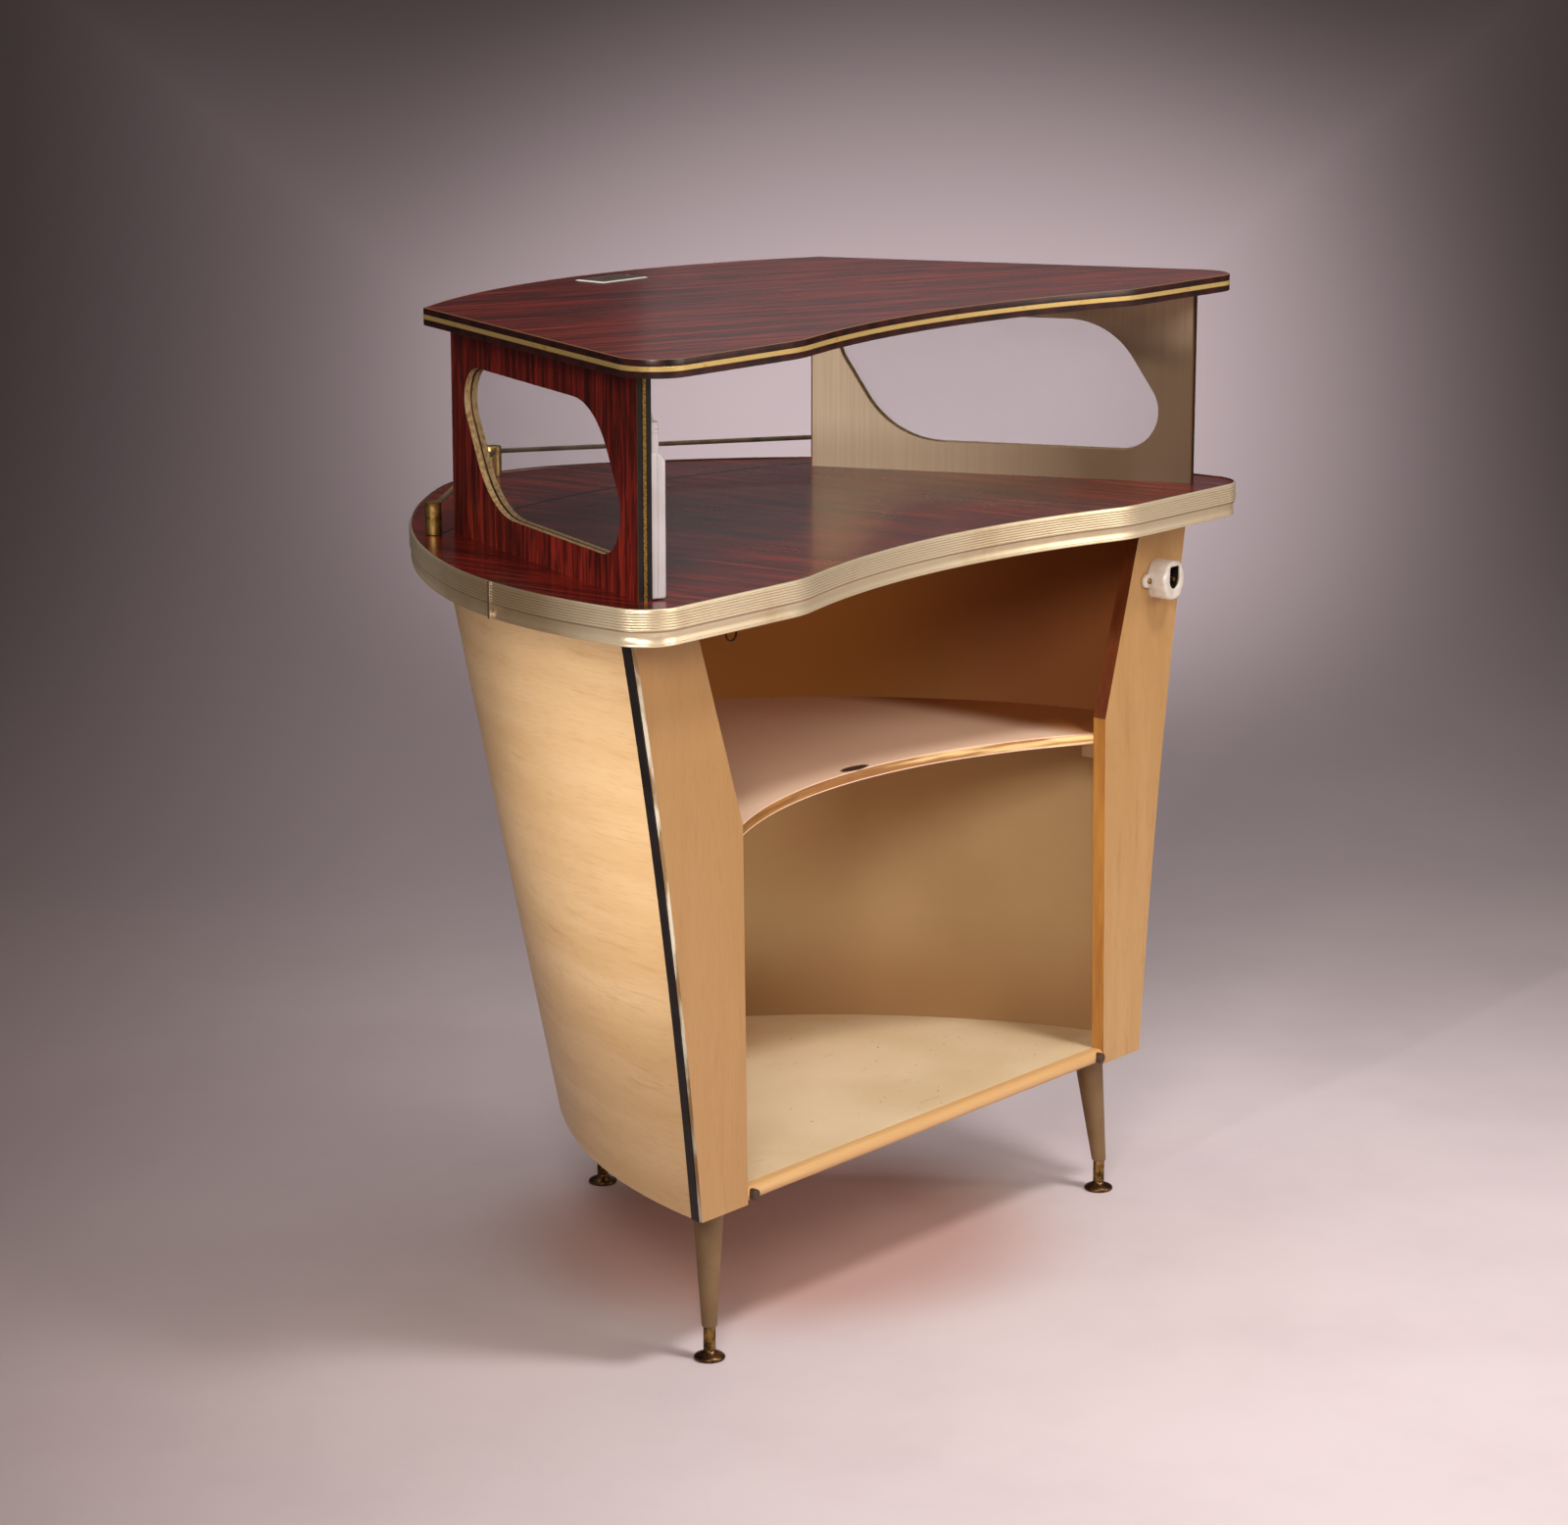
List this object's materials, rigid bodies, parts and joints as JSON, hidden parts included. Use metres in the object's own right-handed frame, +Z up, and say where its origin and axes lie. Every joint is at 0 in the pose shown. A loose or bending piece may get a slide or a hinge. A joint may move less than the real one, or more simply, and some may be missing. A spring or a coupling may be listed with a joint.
{
  "type": "home bar cabinet",
  "caption": "Free-standing home bar with a bowed wooden front, rimmed counter, raised top shelf on glazed side panels, open shelves behind, gallery rail and tapered legs.",
  "frame": {"origin": "on the floor, midway between the left and right ends and between the serving edge and the nose of the counter", "axes": "+Z up, -Y towards the person who serves, +Y towards the guests, +X to the server's right"},
  "size_m": [1.162, 0.791, 1.1845],
  "materials": {
    "rosewood_laminate": "semi-gloss rosewood grain",
    "maple_veneer": "satin maple",
    "board_core": "plain board",
    "cream_laminate": "satin cream laminate on board",
    "pale_batten": "satin",
    "brown_plastic": "satin brown",
    "gold_trim": "champagne gold anodised",
    "black_plastic": "black",
    "clear_pane": "clear",
    "dark_plate": "dark mirror",
    "white_plastic": "white",
    "switch_brown": "brown moulding",
    "button_plastic": "white",
    "white_cable": "white sheath",
    "white_metal": "white enamel",
    "lamp_glass": "frosted",
    "porcelain": "white glaze",
    "brass": "aged, polished",
    "twisted_rod": "brass twisted with dark green",
    "glide_brass": "antique",
    "leg_metal": "taupe gold",
    "steel": "plated"
  },
  "bodies": {
    "cabinet": {"counter_laminate": "rosewood_laminate", "top_shelf_laminate": "rosewood_laminate", "left_gantry_panel": "rosewood_laminate", "right_gantry_panel": "rosewood_laminate", "bowed_front_shell": "maple_veneer", "left_stile": "maple_veneer", "right_stile": "maple_veneer", "counter_board": "board_core", "counter_lipping": "board_core", "top_shelf_board": "board_core", "shelf_cleats": "board_core", "counter_cleats": "board_core", "base_panel": "cream_laminate", "inner_shelf": "cream_laminate", "base_front_batten": "pale_batten", "base_buffers": "brown_plastic", "inner_shelf_edge_strip": "brown_plastic", "counter_trim": "gold_trim", "trim_joint_cover": "gold_trim", "left_panel_gold_inlay": "gold_trim", "right_panel_gold_inlay": "gold_trim", "top_shelf_gold_inlay": "gold_trim", "left_edge_bead": "black_plastic", "right_edge_bead": "black_plastic", "left_panel_edging": "black_plastic", "right_panel_edging": "black_plastic", "top_shelf_edging": "black_plastic", "left_pane": "clear_pane", "right_pane": "clear_pane", "top_window_plate": "dark_plate", "switch_box_tray": "white_plastic", "switch_box_cover": "white_plastic", "cable_gland": "white_plastic", "lamp_holders": "white_plastic", "cable_clips": "white_plastic", "switch_block": "switch_brown", "lamp_cable": "white_cable", "lamp_base": "white_metal", "lamp_tube": "lamp_glass", "mains_inlet_body": "porcelain", "mains_inlet_pins": "brass", "mains_inlet_screws": "brass", "gallery_post_left": "brass", "gallery_post_nose": "brass", "gallery_post_right": "brass", "gallery_post_screws": "brass", "leg_ferrules": "brass", "gallery_rod_left": "twisted_rod", "gallery_rod_right": "twisted_rod", "leg_left": "leg_metal", "leg_right": "leg_metal", "leg_nose": "leg_metal", "leg_plates": "steel", "leg_plate_screws": "steel", "screw_eye": "steel"},
    "left_glide": {"glide_left": "glide_brass"},
    "right_glide": {"glide_right": "glide_brass"},
    "nose_glide": {"glide_nose": "glide_brass"},
    "push_button": {"switch_button": "button_plastic"}
  },
  "joints": [
    {"name": "left_glide_thread", "type": "slide", "parent": "cabinet", "child": "left_glide", "axis": [0, 0, -1], "range_m": [0, 0.01]},
    {"name": "right_glide_thread", "type": "slide", "parent": "cabinet", "child": "right_glide", "axis": [0, 0, -1], "range_m": [0, 0.01]},
    {"name": "nose_glide_thread", "type": "slide", "parent": "cabinet", "child": "nose_glide", "axis": [0, 0, -1], "range_m": [0, 0.01]},
    {"name": "button_push", "type": "slide", "parent": "cabinet", "child": "push_button", "axis": [-0.9219, 0.3875, 0], "range_m": [0, 0.002], "stiffness_N_per_m": 600, "springref_m": -0.003}
  ]
}
